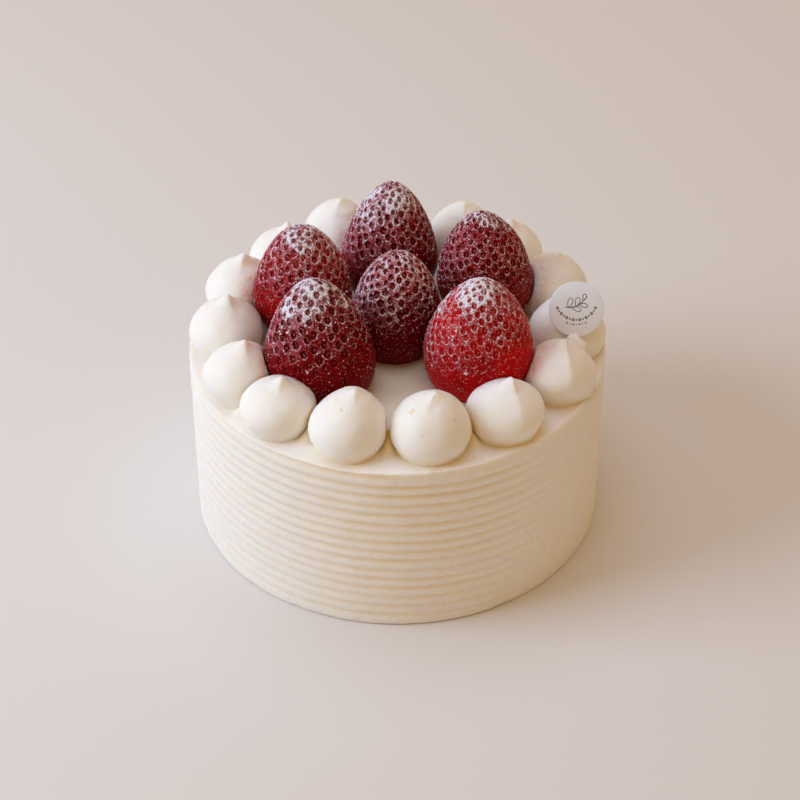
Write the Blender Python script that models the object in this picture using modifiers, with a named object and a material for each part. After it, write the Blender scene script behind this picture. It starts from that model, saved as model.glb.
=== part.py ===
"""A whole round strawberry shortcake, modelled in metres with +Z up.

The cake stands on Z = 0 with its centre at the origin. The front of the cake faces -Y.
Its coat of whipped cream has level comb ridges round the side. A ring of piped cream
dollops runs round the top, six strawberries stand inside the ring with their tips up,
and a small round tag leans back on one dollop, its pick pushed through the next one.
"""
import math
import random

import bmesh
import bpy
from mathutils import Matrix, Vector

# Cake
CAKE_RADIUS = 0.0750
CAKE_HEIGHT = 0.0693
RIM_ROUND = 0.0008
FOOT_ROUND = 0.0012
CAKE_STEPS = 48
RIDGE_COUNT = 16
RIDGE_TOP = 0.0014
RIDGE_DEPTH = 0.0006
RIDGE_DEPTH_AT_FOOT = 0.0003
RIDGE_UNEVEN = 0.00018

# Clear space between neighbouring pieces
GAP = 0.0003

# Piped dollops: angle in degrees from +X, distance of the centre from the cake's axis,
# radius, height of the dome, height of the pointed tip on it, lean of the tip in X and Y
DOLLOPS = [
    (-106.1, 0.0600, 0.0136, 0.0198, 0.0016, 0.0026, 0.0011),
    (-79.3, 0.0600, 0.0140, 0.0202, 0.0016, 0.0015, 0.0002),
    (-53.2, 0.0613, 0.0134, 0.0158, 0.0029, 0.0019, 0.0026),
    (-26.3, 0.0622, 0.0126, 0.0176, 0.0026, 0.0018, 0.0010),
    (-1.5, 0.0608, 0.0133, 0.0180, 0.0022, 0.0008, 0.0012),
    (23.3, 0.0613, 0.0134, 0.0188, 0.0024, 0.0022, 0.0010),
    (47.7, 0.0612, 0.0134, 0.0186, 0.0030, 0.0012, 0.0019),
    (66.4, 0.0613, 0.0131, 0.0208, 0.0014, 0.0008, 0.0003),
    (91.5, 0.0615, 0.0123, 0.0180, 0.0022, 0.0012, 0.0010),
    (111.5, 0.0611, 0.0137, 0.0224, 0.0014, 0.0013, 0.0002),
    (133.4, 0.0606, 0.0136, 0.0172, 0.0040, 0.0010, 0.0026),
    (158.4, 0.0616, 0.0128, 0.0192, 0.0026, 0.0016, 0.0011),
    (-177.7, 0.0612, 0.0133, 0.0186, 0.0028, 0.0011, 0.0017),
    (-152.4, 0.0617, 0.0130, 0.0180, 0.0026, 0.0020, 0.0015),
    (-131.5, 0.0617, 0.0132, 0.0161, 0.0026, 0.0018, 0.0006),
]
DOLLOP_STEPS = 16
DOLLOP_WAIST = 0.0070
DOLLOP_UNDERCUT = 0.0102
DOLLOP_POWER = 1.8
DOLLOP_ROUNDNESS = 0.58
DOLLOP_FOOT_ROWS = (0.0, 0.5, 1.0)
DOLLOP_DOME_ROWS = (0.30, 0.55, 0.76, 0.92)
TIP_NECK = 0.0017
TIP_NECK_GROWTH = 0.35
TIP_LEAN_POWER = 3.0

# Strawberries, cut face down: centre in X and Y, radius, share of the radius left front to
# back, height, height of the widest place, power of the taper, lean of the tip in X and Y
BERRIES = {
    "front_left": (-0.0269, -0.0252, 0.0197, 0.86, 0.0440, 0.0112, 1.67, -0.0012, 0.0003),
    "front_right": (0.0281, -0.0232, 0.0195, 0.91, 0.0426, 0.0132, 1.70, 0.0011, 0.0000),
    "centre": (-0.0006, -0.0016, 0.0168, 0.93, 0.0402, 0.0112, 1.70, 0.0012, -0.0004),
    "back_left": (-0.0337, 0.0112, 0.0179, 0.92, 0.0423, 0.0134, 1.71, -0.0001, 0.0000),
    "back_right": (0.0322, 0.0186, 0.0177, 0.93, 0.0427, 0.0145, 1.61, -0.0019, 0.0005),
    "back_centre": (-0.0031, 0.0345, 0.0183, 0.92, 0.0447, 0.0139, 1.45, 0.0014, 0.0011),
}
BERRY_STEPS = 24
BERRY_FOOT_ROWS = (0.0, 0.35, 1.0)
BERRY_BODY_ROWS = (0.22, 0.42, 0.58, 0.71, 0.82, 0.90, 0.96, 0.99)
BERRY_UNDERCUT = 1.05
BERRY_ROUNDNESS = 0.60
BERRY_LEAN_POWER = 1.5
BERRY_LOBES = 0.02

# Round tag, leaning back on one dollop, and its straight pick, which runs down a channel
# through the dollop in front of it
TAG_RADIUS = 0.00975
TAG_THICK = 0.0008
TAG_CENTRE = (0.0632, -0.0082, 0.0893)
TAG_LEAN = math.radians(38.0)
TAG_SEGMENTS = 32
PICK_RADIUS = 0.0006
PICK_SEGMENTS = 8
PICK_SET_BACK = 0.0004
PICK_OVERLAP = 0.0040
PICKED_DOLLOP = "dollop_04"
CHANNEL_EXTRA = 0.0030

CREAM = (0.90, 0.86, 0.79)
PIPED_CREAM = (0.93, 0.90, 0.85)
BERRY_RED = (0.33, 0.008, 0.012)
TAG_WHITE = (0.78, 0.76, 0.80)


def material(name, colour, roughness):
    """Makes the Principled material of one sub-part."""
    mat = bpy.data.materials.new(name)
    mat.use_nodes = True
    shader = mat.node_tree.nodes["Principled BSDF"]
    shader.inputs["Base Color"].default_value = (*colour, 1.0)
    shader.inputs["Roughness"].default_value = roughness
    shader.inputs["Metallic"].default_value = 0.0
    return mat


def add_object(name, mesh, collection, colour, roughness):
    """Links a mesh as a named object with its own material."""
    obj = bpy.data.objects.new(name, mesh)
    collection.objects.link(obj)
    mesh.materials.append(material(name, colour, roughness))
    return obj


def profile_mesh(name, points):
    """Makes an open line of (radius, height) points in the XZ plane."""
    mesh = bpy.data.meshes.new(name)
    bm = bmesh.new()
    verts = [bm.verts.new((radius, 0.0, height)) for radius, height in points]
    for first, second in zip(verts, verts[1:]):
        bm.edges.new((first, second))
    bm.to_mesh(mesh)
    bm.free()
    return mesh


def add_screw(obj, steps):
    """Turns an object's profile once round the Z axis."""
    screw = obj.modifiers.new("Turn", "SCREW")
    screw.axis = "Z"
    screw.angle = math.tau
    screw.steps = steps
    screw.render_steps = steps
    screw.use_merge_vertices = True
    screw.merge_threshold = 0.00001
    screw.use_smooth_shade = True


def apply_modifiers(obj):
    """Replaces an object's mesh with its evaluated one."""
    graph = bpy.context.evaluated_depsgraph_get()
    graph.update()
    mesh = bpy.data.meshes.new_from_object(obj.evaluated_get(graph))
    old = obj.data
    obj.modifiers.clear()
    obj.data = mesh
    bpy.data.meshes.remove(old)


def swelling(height, radius, full_height, waist, undercut, power, roundness):
    """Radius of a rounded body at a height: an ellipse below its waist, a taper above it."""
    if height <= waist:
        drop = (waist - height) / undercut
        return radius * math.sqrt(max(0.0, 1.0 - drop * drop))
    rise = min(1.0, (height - waist) / (full_height - waist))
    return radius * (1.0 - rise ** power) ** roundness


def coat_profile():
    """Outline of the combed cake, from the middle of its top to the middle of its foot."""
    rng = random.Random(15)
    pitch = (CAKE_HEIGHT - RIDGE_TOP - FOOT_ROUND) / RIDGE_COUNT
    points = [(0.0, CAKE_HEIGHT), (CAKE_RADIUS - RIM_ROUND, CAKE_HEIGHT)]
    points.append((CAKE_RADIUS - 0.3 * RIM_ROUND, CAKE_HEIGHT - 0.3 * RIM_ROUND))
    points.append((CAKE_RADIUS, CAKE_HEIGHT - RIM_ROUND))
    for ridge in range(RIDGE_COUNT):
        top = CAKE_HEIGHT - RIDGE_TOP - ridge * pitch
        fade = ridge / (RIDGE_COUNT - 1)
        depth = RIDGE_DEPTH + (RIDGE_DEPTH_AT_FOOT - RIDGE_DEPTH) * fade
        wander = rng.uniform(-RIDGE_UNEVEN, RIDGE_UNEVEN)
        points.append((CAKE_RADIUS - depth, top - 0.12 * pitch + wander))
        points.append((CAKE_RADIUS - 0.15 * depth, top - 0.42 * pitch + wander))
        points.append((CAKE_RADIUS - 0.05 * depth, top - 0.76 * pitch + wander))
    points.append((CAKE_RADIUS - 0.2 * FOOT_ROUND, FOOT_ROUND))
    points.append((CAKE_RADIUS - FOOT_ROUND, 0.0))
    points.append((0.0, 0.0))
    return points


def dollop_profile(radius, height, tip):
    """Outline of one piped dollop, from its pointed tip down to the middle of its foot."""
    shape = (radius, height, DOLLOP_WAIST, DOLLOP_UNDERCUT, DOLLOP_POWER, DOLLOP_ROUNDNESS)
    neck = TIP_NECK + TIP_NECK_GROWTH * tip
    points = [(0.0, height + tip)]
    points.append((0.40 * neck, height + 0.5 * tip))
    points.append((neck, height - 0.05 * tip))
    for share in reversed(DOLLOP_DOME_ROWS):
        level = DOLLOP_WAIST + share * (height - DOLLOP_WAIST)
        points.append((swelling(level, *shape), level))
    for share in reversed(DOLLOP_FOOT_ROWS):
        level = share * DOLLOP_WAIST
        points.append((swelling(level, *shape), level))
    points.append((0.0, 0.0))
    return points


def berry_radius(berry, height):
    """Half width of a strawberry at a height above its cut face."""
    radius, full_height, waist, power = berry[2], berry[4], berry[5], berry[6]
    return swelling(height, radius, full_height, waist, BERRY_UNDERCUT * radius, power, BERRY_ROUNDNESS)


def berry_axis(berry, height):
    """Place of a strawberry's leaning middle line at a height above its cut face."""
    share = max(0.0, min(1.0, height / berry[4])) ** BERRY_LEAN_POWER
    return Vector((berry[0] + berry[7] * share, berry[1] + berry[8] * share))


def berry_profile(berry):
    """Outline of one strawberry, from its tip down to the middle of its cut face."""
    height, waist = berry[4], berry[5]
    points = [(0.0, height)]
    for share in reversed(BERRY_BODY_ROWS):
        level = waist + share * (height - waist)
        points.append((berry_radius(berry, level), level))
    for share in reversed(BERRY_FOOT_ROWS):
        level = share * waist
        points.append((berry_radius(berry, level), level))
    points.append((0.0, 0.0))
    return points


def clear_of_berries(point):
    """Moves a point of a dollop sideways until it is clear of every strawberry."""
    height = point.z - CAKE_HEIGHT - GAP
    for berry in BERRIES.values():
        if height >= berry[4]:
            continue
        oval = berry[3]
        middle = berry_axis(berry, height)
        away = Vector((point.x - middle.x, (point.y - middle.y) / oval))
        needed = berry_radius(berry, height) + 1.5 * GAP
        if away.length < needed:
            away.length = needed
            point.x = middle.x + away.x
            point.y = middle.y + away.y * oval


def dollop_centre(index):
    """Place of a dollop's middle on the cake's top."""
    angle, reach = DOLLOPS[index][0:2]
    turn = math.radians(angle)
    return Vector((reach * math.cos(turn), reach * math.sin(turn)))


def clear_of_neighbours(point, index):
    """Flattens a point of a dollop against the two dollops that it touches."""
    centre = dollop_centre(index)
    for other in ((index - 1) % len(DOLLOPS), (index + 1) % len(DOLLOPS)):
        way = dollop_centre(other) - centre
        share = DOLLOPS[index][2] / (DOLLOPS[index][2] + DOLLOPS[other][2])
        limit = way.length * share - 0.6 * GAP
        way.normalize()
        ahead = (Vector(point.xy) - centre).dot(way)
        if ahead > limit:
            point.x -= way.x * (ahead - limit)
            point.y -= way.y * (ahead - limit)


def make_cake(collection):
    """The combed, cream-coated cake as one solid."""
    obj = add_object("cake_body", profile_mesh("cake_body", coat_profile()), collection, CREAM, 0.55)
    add_screw(obj, CAKE_STEPS)


def make_dollop(index, collection):
    """One piped dollop, leaning at its tip and pressed flat where it touches a neighbour."""
    radius, height, tip, lean_x, lean_y = DOLLOPS[index][2:]
    name = f"dollop_{index + 1:02d}"
    profile = profile_mesh(name, dollop_profile(radius, height, tip))
    obj = add_object(name, profile, collection, PIPED_CREAM, 0.5)
    add_screw(obj, DOLLOP_STEPS)
    apply_modifiers(obj)
    centre = dollop_centre(index)
    for vert in obj.data.vertices:
        share = max(0.0, vert.co.z / (height + tip)) ** TIP_LEAN_POWER
        point = Vector((centre.x + vert.co.x + lean_x * share, centre.y + vert.co.y + lean_y * share,
                        CAKE_HEIGHT + GAP + vert.co.z))
        for _ in range(3):
            clear_of_berries(point)
            clear_of_neighbours(point, index)
        vert.co = point


def make_berry(name, berry, collection):
    """One strawberry, slightly oval and lobed, standing on its cut face."""
    obj = add_object(f"strawberry_{name}", profile_mesh(name, berry_profile(berry)), collection,
                     BERRY_RED, 0.35)
    add_screw(obj, BERRY_STEPS)
    apply_modifiers(obj)
    rng = random.Random(name)
    start = rng.uniform(0.0, math.tau)
    for vert in obj.data.vertices:
        turn = math.atan2(vert.co.y, vert.co.x)
        lobe = 1.0 - BERRY_LOBES * (0.5 + 0.5 * math.sin(3.0 * turn + start))
        middle = berry_axis(berry, vert.co.z)
        vert.co.x = middle.x + vert.co.x * lobe
        vert.co.y = middle.y + vert.co.y * lobe * berry[3]
        vert.co.z += CAKE_HEIGHT + GAP


def rod(name, start, end, radius, collection):
    """A hidden round rod between two points, for joining or cutting."""
    way = end - start
    turn = way.to_track_quat("Z", "Y").to_matrix().to_4x4()
    mesh = bpy.data.meshes.new(name)
    bm = bmesh.new()
    bmesh.ops.create_cone(bm, cap_ends=True, segments=PICK_SEGMENTS, radius1=radius,
                          radius2=radius, depth=way.length,
                          matrix=Matrix.Translation((start + end) / 2.0) @ turn)
    bm.to_mesh(mesh)
    bm.free()
    obj = bpy.data.objects.new(name, mesh)
    collection.objects.link(obj)
    obj.hide_render = True
    obj.display_type = "WIRE"
    return obj


def add_boolean(obj, operation, tool):
    """Joins a tool to an object, or cuts it away."""
    boolean = obj.modifiers.new(operation.title(), "BOOLEAN")
    boolean.operation = operation
    boolean.solver = "EXACT"
    boolean.object = tool


def make_tag(collection, cutters):
    """The round tag in one piece with its pick, and the channel that the pick stands in."""
    lean = Matrix.Rotation(math.pi / 2.0 - TAG_LEAN, 4, "X")
    centre = Vector(TAG_CENTRE)
    mesh = bpy.data.meshes.new("tag_pick")
    bm = bmesh.new()
    bmesh.ops.create_cone(bm, cap_ends=True, segments=TAG_SEGMENTS, radius1=TAG_RADIUS,
                          radius2=TAG_RADIUS, depth=TAG_THICK,
                          matrix=Matrix.Translation(centre) @ lean)
    bm.to_mesh(mesh)
    bm.free()
    tag = add_object("tag_pick", mesh, collection, TAG_WHITE, 0.35)
    down = lean @ Vector((0.0, -1.0, 0.0))
    back = lean @ Vector((0.0, 0.0, -1.0))
    top = centre + back * PICK_SET_BACK + down * (TAG_RADIUS - PICK_OVERLAP)
    drop = top.z - CAKE_HEIGHT - 2.0 * GAP - PICK_RADIUS * math.cos(math.pi / 2.0 - TAG_LEAN)
    foot = top + down * (drop / -down.z)
    add_boolean(tag, "UNION", rod("pick", top, foot, PICK_RADIUS, cutters))
    channel_end = foot + down * CHANNEL_EXTRA
    channel = rod("pick_channel", top, channel_end, PICK_RADIUS + GAP, cutters)
    add_boolean(bpy.data.objects[PICKED_DOLLOP], "DIFFERENCE", channel)


def main():
    for old in list(bpy.data.objects):
        bpy.data.objects.remove(old)
    collection = bpy.data.collections.new("strawberry_shortcake")
    cutters = bpy.data.collections.new("cutters")
    bpy.context.scene.collection.children.link(collection)
    bpy.context.scene.collection.children.link(cutters)
    make_cake(collection)
    for index in range(len(DOLLOPS)):
        make_dollop(index, collection)
    for name, berry in BERRIES.items():
        make_berry(name, berry, collection)
    make_tag(collection, cutters)


main()
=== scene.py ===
"""Looks of a whole round strawberry shortcake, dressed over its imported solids.

Everything is in metres with +Z up. The cake stands on Z = 0 with its centre at the origin,
and its front faces -Y. Combed whipped cream coats the side, piped dollops ring the top,
six sugar-dusted strawberries stand inside the ring, and a round tag leans on one dollop.
"""

import math
import random
from collections import namedtuple
from functools import lru_cache

import bpy
import numpy as np
from bpy.props import FloatProperty, FloatVectorProperty, IntProperty, PointerProperty
from bpy.types import Operator, Panel, PropertyGroup
from mathutils import Matrix, Vector


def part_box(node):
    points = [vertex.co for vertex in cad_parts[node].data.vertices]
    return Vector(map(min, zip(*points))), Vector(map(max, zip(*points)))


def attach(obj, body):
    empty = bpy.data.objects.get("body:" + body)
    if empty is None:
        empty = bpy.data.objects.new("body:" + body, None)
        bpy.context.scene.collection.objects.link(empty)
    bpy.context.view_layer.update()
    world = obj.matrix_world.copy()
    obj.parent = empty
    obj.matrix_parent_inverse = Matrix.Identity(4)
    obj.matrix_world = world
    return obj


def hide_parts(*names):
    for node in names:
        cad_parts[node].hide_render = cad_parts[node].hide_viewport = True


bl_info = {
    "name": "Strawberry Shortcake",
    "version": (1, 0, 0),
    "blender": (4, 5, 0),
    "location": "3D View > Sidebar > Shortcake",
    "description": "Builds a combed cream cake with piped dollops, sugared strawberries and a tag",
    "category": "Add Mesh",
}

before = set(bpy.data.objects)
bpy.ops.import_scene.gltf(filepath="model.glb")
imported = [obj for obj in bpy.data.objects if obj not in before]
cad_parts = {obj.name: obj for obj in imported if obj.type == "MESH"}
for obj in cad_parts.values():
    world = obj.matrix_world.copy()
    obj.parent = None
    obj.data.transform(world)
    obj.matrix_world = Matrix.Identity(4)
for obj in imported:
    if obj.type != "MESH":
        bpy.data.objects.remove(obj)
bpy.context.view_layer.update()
BODY = "root"

# Cake
CAKE_HEIGHT = 0.0693
CAKE_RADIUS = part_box("cake_body")[1].x
RIM_ROUND = 0.0008
FOOT_ROUND = 0.0012
RIDGE_COUNT = 16
RIDGE_TOP = 0.0014
RIDGE_UNEVEN = 0.00018
# Space between the cake's top and the pieces on it, and how deep those sink at their feet
GAP = 0.0003
TOP_LEVEL = CAKE_HEIGHT + GAP
SINK = 0.0005
DOLLOP_SINK = 0.0010
# Width of a comb groove as a share of the pitch, and how steep its sides are
GROOVE_WIDTH = 0.28
GROOVE_POWER = 1.9
# How far the foot of the coat is worn back in places
WORN_FOOT = 0.0005
# Height that the cream is drawn up to between two dollops, and how steeply
WEB_HEIGHT = 0.0046
WEB_POWER = 1.4
# Share of the light's reach that is lost where cream lies against cream
COAT_CLOSED = 0.88
DOLLOP_CLOSED = 0.82

Dollop = namedtuple("Dollop", "turn away radius height tip lean_x lean_y")
Berry = namedtuple("Berry", "x y radius oval height waist taper lean_x lean_y coarse")
Dusting = namedtuple("Dusting", "cap_low net_low net rightward bloom ripe tip_ripe")

# Piped dollops: angle in degrees from +X, distance of the centre from the cake's axis,
# radius, height of the dome, height of the pointed tip on it, lean of the tip in X and Y
DOLLOPS = [Dollop(*row) for row in (
    (-106.1, 0.0600, 0.0136, 0.0198, 0.0016, 0.0026, 0.0011),
    (-79.3, 0.0600, 0.0140, 0.0202, 0.0016, 0.0015, 0.0002),
    (-53.2, 0.0613, 0.0134, 0.0158, 0.0029, 0.0019, 0.0026),
    (-26.3, 0.0622, 0.0126, 0.0176, 0.0026, 0.0018, 0.0010),
    (-1.5, 0.0608, 0.0133, 0.0180, 0.0022, 0.0008, 0.0012),
    (23.3, 0.0613, 0.0134, 0.0188, 0.0024, 0.0022, 0.0010),
    (47.7, 0.0612, 0.0134, 0.0186, 0.0030, 0.0012, 0.0019),
    (66.4, 0.0613, 0.0131, 0.0208, 0.0014, 0.0008, 0.0003),
    (91.5, 0.0615, 0.0123, 0.0180, 0.0022, 0.0012, 0.0010),
    (111.5, 0.0611, 0.0137, 0.0224, 0.0014, 0.0013, 0.0002),
    (133.4, 0.0606, 0.0136, 0.0172, 0.0040, 0.0010, 0.0026),
    (158.4, 0.0616, 0.0128, 0.0192, 0.0026, 0.0016, 0.0011),
    (-177.7, 0.0612, 0.0133, 0.0186, 0.0028, 0.0011, 0.0017),
    (-152.4, 0.0617, 0.0130, 0.0180, 0.0026, 0.0020, 0.0015),
    (-131.5, 0.0617, 0.0132, 0.0161, 0.0026, 0.0018, 0.0006),
)]
# Height of the widest place, depth of the undercut below it, power and roundness of the taper
DOLLOP_DOME = (0.0070, 0.0102, 1.8, 0.58)
# Half width of the tip's neck, its growth with the tip's height, softness of the join to the
# dome, and how late the tip starts to lean
TIP_NECK = 0.0023
TIP_NECK_GROWTH = 0.45
TIP_SOFT = 0.0013
TIP_LEAN_POWER = 3.0
# Softness of the dent where two dollops touch, and size of the soft foot
SQUEEZE_SOFT = 0.00035
FILLET = 0.0028
# Air bubbles burst in the cream: dollop number, angle in degrees, height, width
BUBBLES = [
    (0, -168.0, 0.0184, 0.0014),
    (0, -118.0, 0.0177, 0.0015),
    (1, -148.0, 0.0172, 0.0024),
    (1, -40.0, 0.0150, 0.0014),
    (1, -104.0, 0.0126, 0.0011),
]
# Shares of a bubble's width: how far its hole and its floor reach, its depth and its raised lip
BUBBLE_REACH = 0.62
BUBBLE_FLOOR = 0.25
BUBBLE_DEPTH = 0.36
BUBBLE_LIP = 0.25
# The two dollops nearest the camera have twice the points each way
FINE_DOLLOPS = {0, 1}
# Dollops drawn up to a ridged peak: dollop number, angle of the ridge, its height
RIDGED = {3: (-72.0, 0.0016), 2: (-64.0, 0.0005)}
# Dollops that slump to the rim on one side: dollop number, angle of the slump, its width at
# the foot; then how wide a slump spreads in radians, its height and how steeply it ends
SLUMPED = {3: (8.0, 0.0026), 4: (-36.0, 0.0022)}
SLUMP_SPREAD = 0.95
SLUMP_HEIGHT = 0.013
SLUMP_POWER = 1.4

# Strawberries, cut face down: centre in X and Y, radius, share of the radius left front to
# back, height, height of the widest place, power of the taper, lean of the tip in X and Y,
# and how coarse its pits are
BERRIES = {name: Berry(*row) for name, row in {
    "front_left": (-0.0269, -0.0252, 0.0197, 0.86, 0.0440, 0.0112, 1.67, -0.0012, 0.0003, 1.32),
    "front_right": (0.0281, -0.0232, 0.0195, 0.91, 0.0426, 0.0132, 1.70, 0.0011, 0.0000, 1.12),
    "centre": (-0.0006, -0.0016, 0.0168, 0.93, 0.0402, 0.0112, 1.70, 0.0012, -0.0004, 1.10),
    "back_left": (-0.0337, 0.0112, 0.0179, 0.92, 0.0423, 0.0134, 1.71, -0.0001, 0.0000, 1.22),
    "back_right": (0.0322, 0.0186, 0.0177, 0.93, 0.0427, 0.0145, 1.61, -0.0019, 0.0005, 1.12),
    "back_centre": (-0.0031, 0.0345, 0.0183, 0.92, 0.0447, 0.0139, 1.45, 0.0014, 0.0011, 1.12),
}.items()}
BERRY_UNDERCUT = 1.05
BERRY_ROUNDNESS = 0.60
BERRY_LEAN_POWER = 1.5
BERRY_LOBES = 0.02
# Depth of the pits, as a share of the full depth at shares of the height
PIT_EASE = ((0.0, 0.28, 0.55), (0.08, 0.24, 1.0))
# Turn from one seed to the next down the spiral
GOLDEN_TURN = math.radians(137.508)
# Shares of a pit's width: outer edge of its slope, start of its floor, middle of its lip
PIT_EDGE = 1.14
PIT_FLOOR = 0.55
PIT_LIP = 1.24
# Height of the sugar heaped on a cap and on the ridges between pits
CAP_HEAP = 0.00016
NET_HEAP = 0.00006
# How each strawberry is dusted and coloured: lowest share of the height that the thick
# cap reaches, lowest share that the net reaches, strength of the net, how much lower both
# reach on the right, strength of the painted sheen on the side that faces the key light,
# and ripeness of the body and of the tip, from bright red at 0 to dark maroon at 1
DUSTING = {name: Dusting(*row) for name, row in {
    "front_left": (0.81, 0.38, 0.50, -0.06, 0.58, 0.84, 0.76),
    "front_right": (0.86, 0.34, 0.66, -0.12, 0.20, 0.02, 0.05),
    "centre": (0.96, 0.36, 0.88, -0.08, 0.44, 1.00, 0.42),
    "back_left": (0.86, 0.34, 0.68, 0.10, 0.30, 0.34, 0.52),
    "back_right": (0.92, 0.28, 0.58, -0.04, 0.26, 0.74, 0.60),
    "back_centre": (0.76, 0.28, 0.74, -0.06, 0.44, 0.74, 0.66),
}.items()}

# Clumps of sugar on each strawberry, the grains in each, and how far those lie apart
CLUMPS_EACH = 7
GRAINS_IN_CLUMP = 9
CLUMP_SPREAD = 0.00034
BRIGHT_SUGAR = (0.93, 0.91, 0.92, 1.0)

# Round tag and its straight pick: how far the pick stands behind the card and laps over it, the
# place of the cream lump at the tag's foot, and the half sizes of that lump
TAG_RADIUS = 0.00975
TAG_THICK = 0.0008
TAG_CENTRE = (0.0632, -0.0082, 0.0893)
TAG_LEAN = math.radians(38.0)
PICK_RADIUS = 0.0006
PICK_SET_BACK = 0.0004
PICK_OVERLAP = 0.0040
MOUND_OFFSET = (-0.0004, -0.0024, -0.0018)
MOUND_SIZE = (0.0040, 0.0036, 0.0034)
PRINT_LIFT = 0.00004
WORN_INK = (0.06, 0.055, 0.06, 1.0)

# Camera: place, tilt down and roll. Main light: way to it from the cake, distance and raise.
CAMERA_PLACE = (0.00098, -0.63835, 0.54193)
CAMERA_DOWN = math.radians(38.04)
CAMERA_ROLL = math.radians(-0.17)
KEY_WAY = (-0.844, -0.149, 0.515)
KEY_AWAY = 1.3
KEY_RAISED = 0.05
TOP_PLACE = (-0.15, 0.25, 1.5)
FLOOR_HALF = 3.0


def smooth_step(low, high, value):
    """Share from 0 at low to 1 at high with soft ends."""
    share = np.clip((value - low) / (high - low), 0.0, 1.0)
    return share * share * (3.0 - 2.0 * share)


def hump(value, width):
    """Soft hump of height 1 round zero."""
    return np.exp(-(value / width) ** 2)


def full_turn(count):
    """Even angles all the way round, in one row."""
    return np.linspace(-math.pi, math.pi, count, endpoint=False)[None, :]


def unit_circle(turn):
    """Level points at angles, one metre from the axis."""
    return np.stack([np.cos(turn), np.sin(turn), np.zeros_like(turn)], axis=-1)


def past_angle(turn, angle):
    """How far angles are past one angle, from minus half a turn to half a turn."""
    return (turn - angle + math.pi) % math.tau - math.pi


def cloud(points, size, seed):
    """Smooth seeded unevenness from about -1 to 1 whose bumps have one size."""
    cell = np.asarray(points, float) / size
    low = np.floor(cell).astype(np.int64)
    part = cell - low
    part = part * part * (3.0 - 2.0 * part)
    total = np.zeros(cell.shape[:-1])
    for corner in np.ndindex(2, 2, 2):
        at = low + np.array(corner)
        key = at[..., 0] * 73856093 ^ at[..., 1] * 19349663 ^ at[..., 2] * 83492791 ^ seed * 39916801
        key = (key ^ key >> 13) * 1274126177 & 0x7FFFFFFF
        key = (key ^ key >> 15) * 2246822519 & 0x7FFFFFFF
        weight = np.prod(np.where(corner, part, 1.0 - part), axis=-1)
        total += weight * (key / 0x3FFFFFFF - 1.0)
    return total


def even_line(points, count):
    """Spaces a line of (radius, height) points evenly along its length."""
    steps = np.hypot(*np.diff(points, axis=0).T)
    along = np.concatenate([[0.0], np.cumsum(steps)])
    at = np.linspace(0.0, along[-1], count)
    return np.stack([np.interp(at, along, points[:, 0]), np.interp(at, along, points[:, 1])], axis=1)


def swelling(height, radius, full_height, waist, undercut, power, roundness):
    """Radius of a rounded body at a height: an ellipse below its waist, a taper above it."""
    drop = np.clip((waist - height) / undercut, 0.0, 1.0)
    rise = np.clip((height - waist) / (full_height - waist), 0.0, 1.0)
    return radius * np.sqrt(1.0 - drop ** 2) * (1.0 - rise ** power) ** roundness


def row_normals(rings):
    """Outward directions of rows of points that run from the top down and round an axis."""
    down = np.gradient(rings, axis=0)
    around = np.roll(rings, -1, axis=1) - np.roll(rings, 1, axis=1)
    normals = np.cross(down, around)
    return normals / np.maximum(np.linalg.norm(normals, axis=2, keepdims=True), 1e-12)


def ring_mesh(name, rings, top, bottom):
    """Closed smooth mesh from rows of points round an axis, with one point at each end."""
    rows, columns = rings.shape[:2]
    points = np.vstack([rings.reshape(-1, 3), top, bottom])
    index = np.arange(rows * columns).reshape(rows, columns)
    beside = np.roll(index, -1, axis=1)
    quads = np.stack([index[:-1], index[1:], beside[1:], beside[:-1]], axis=-1)
    first, last = rows * columns, rows * columns + 1
    faces = quads.reshape(-1, 4).tolist()
    faces += [[first, a, b] for a, b in zip(index[0].tolist(), beside[0].tolist())]
    faces += [[last, b, a] for a, b in zip(index[-1].tolist(), beside[-1].tolist())]
    mesh = bpy.data.meshes.new(name)
    mesh.from_pydata(points.tolist(), [], faces)
    mesh.shade_smooth()
    return mesh


def joined_mesh(name, points, faces, places, axes, sizes):
    """One mesh of many copies of a small shape, each turned, stretched and moved."""
    stretched = points[None, :, :] * sizes[:, None, :]
    moved = np.einsum("nvk,nkc->nvc", stretched, axes) + places[:, None, :]
    offsets = np.arange(len(places))[:, None, None] * len(points)
    mesh = bpy.data.meshes.new(name)
    mesh.from_pydata(moved.reshape(-1, 3).tolist(), [], (faces[None] + offsets).reshape(-1, 3).tolist())
    mesh.shade_smooth()
    return mesh


def paint(mesh, name, values):
    """Stores one number per point for a material to read."""
    layer = mesh.attributes.new(name, "FLOAT", "POINT")
    layer.data.foreach_set("value", np.asarray(values, np.float32).ravel())


def marked_mesh(name, rings, marks, top, bottom):
    """Mesh from rows of points, with marks on its points; each end takes its row's mean."""
    mesh = ring_mesh(name, rings, top, bottom)
    for mark, values in marks.items():
        paint(mesh, mark, np.append(values, (values[0].mean(), values[-1].mean())))
    return mesh


def show(name, mesh, material, replaced=()):
    """Adds a mesh to the scene as a piece that rides on the cake."""
    obj = bpy.data.objects.new(name, mesh)
    bpy.context.scene.collection.objects.link(obj)
    mesh.materials.append(material)
    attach(obj, BODY)
    if replaced:
        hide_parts(*replaced)
    return obj


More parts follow.
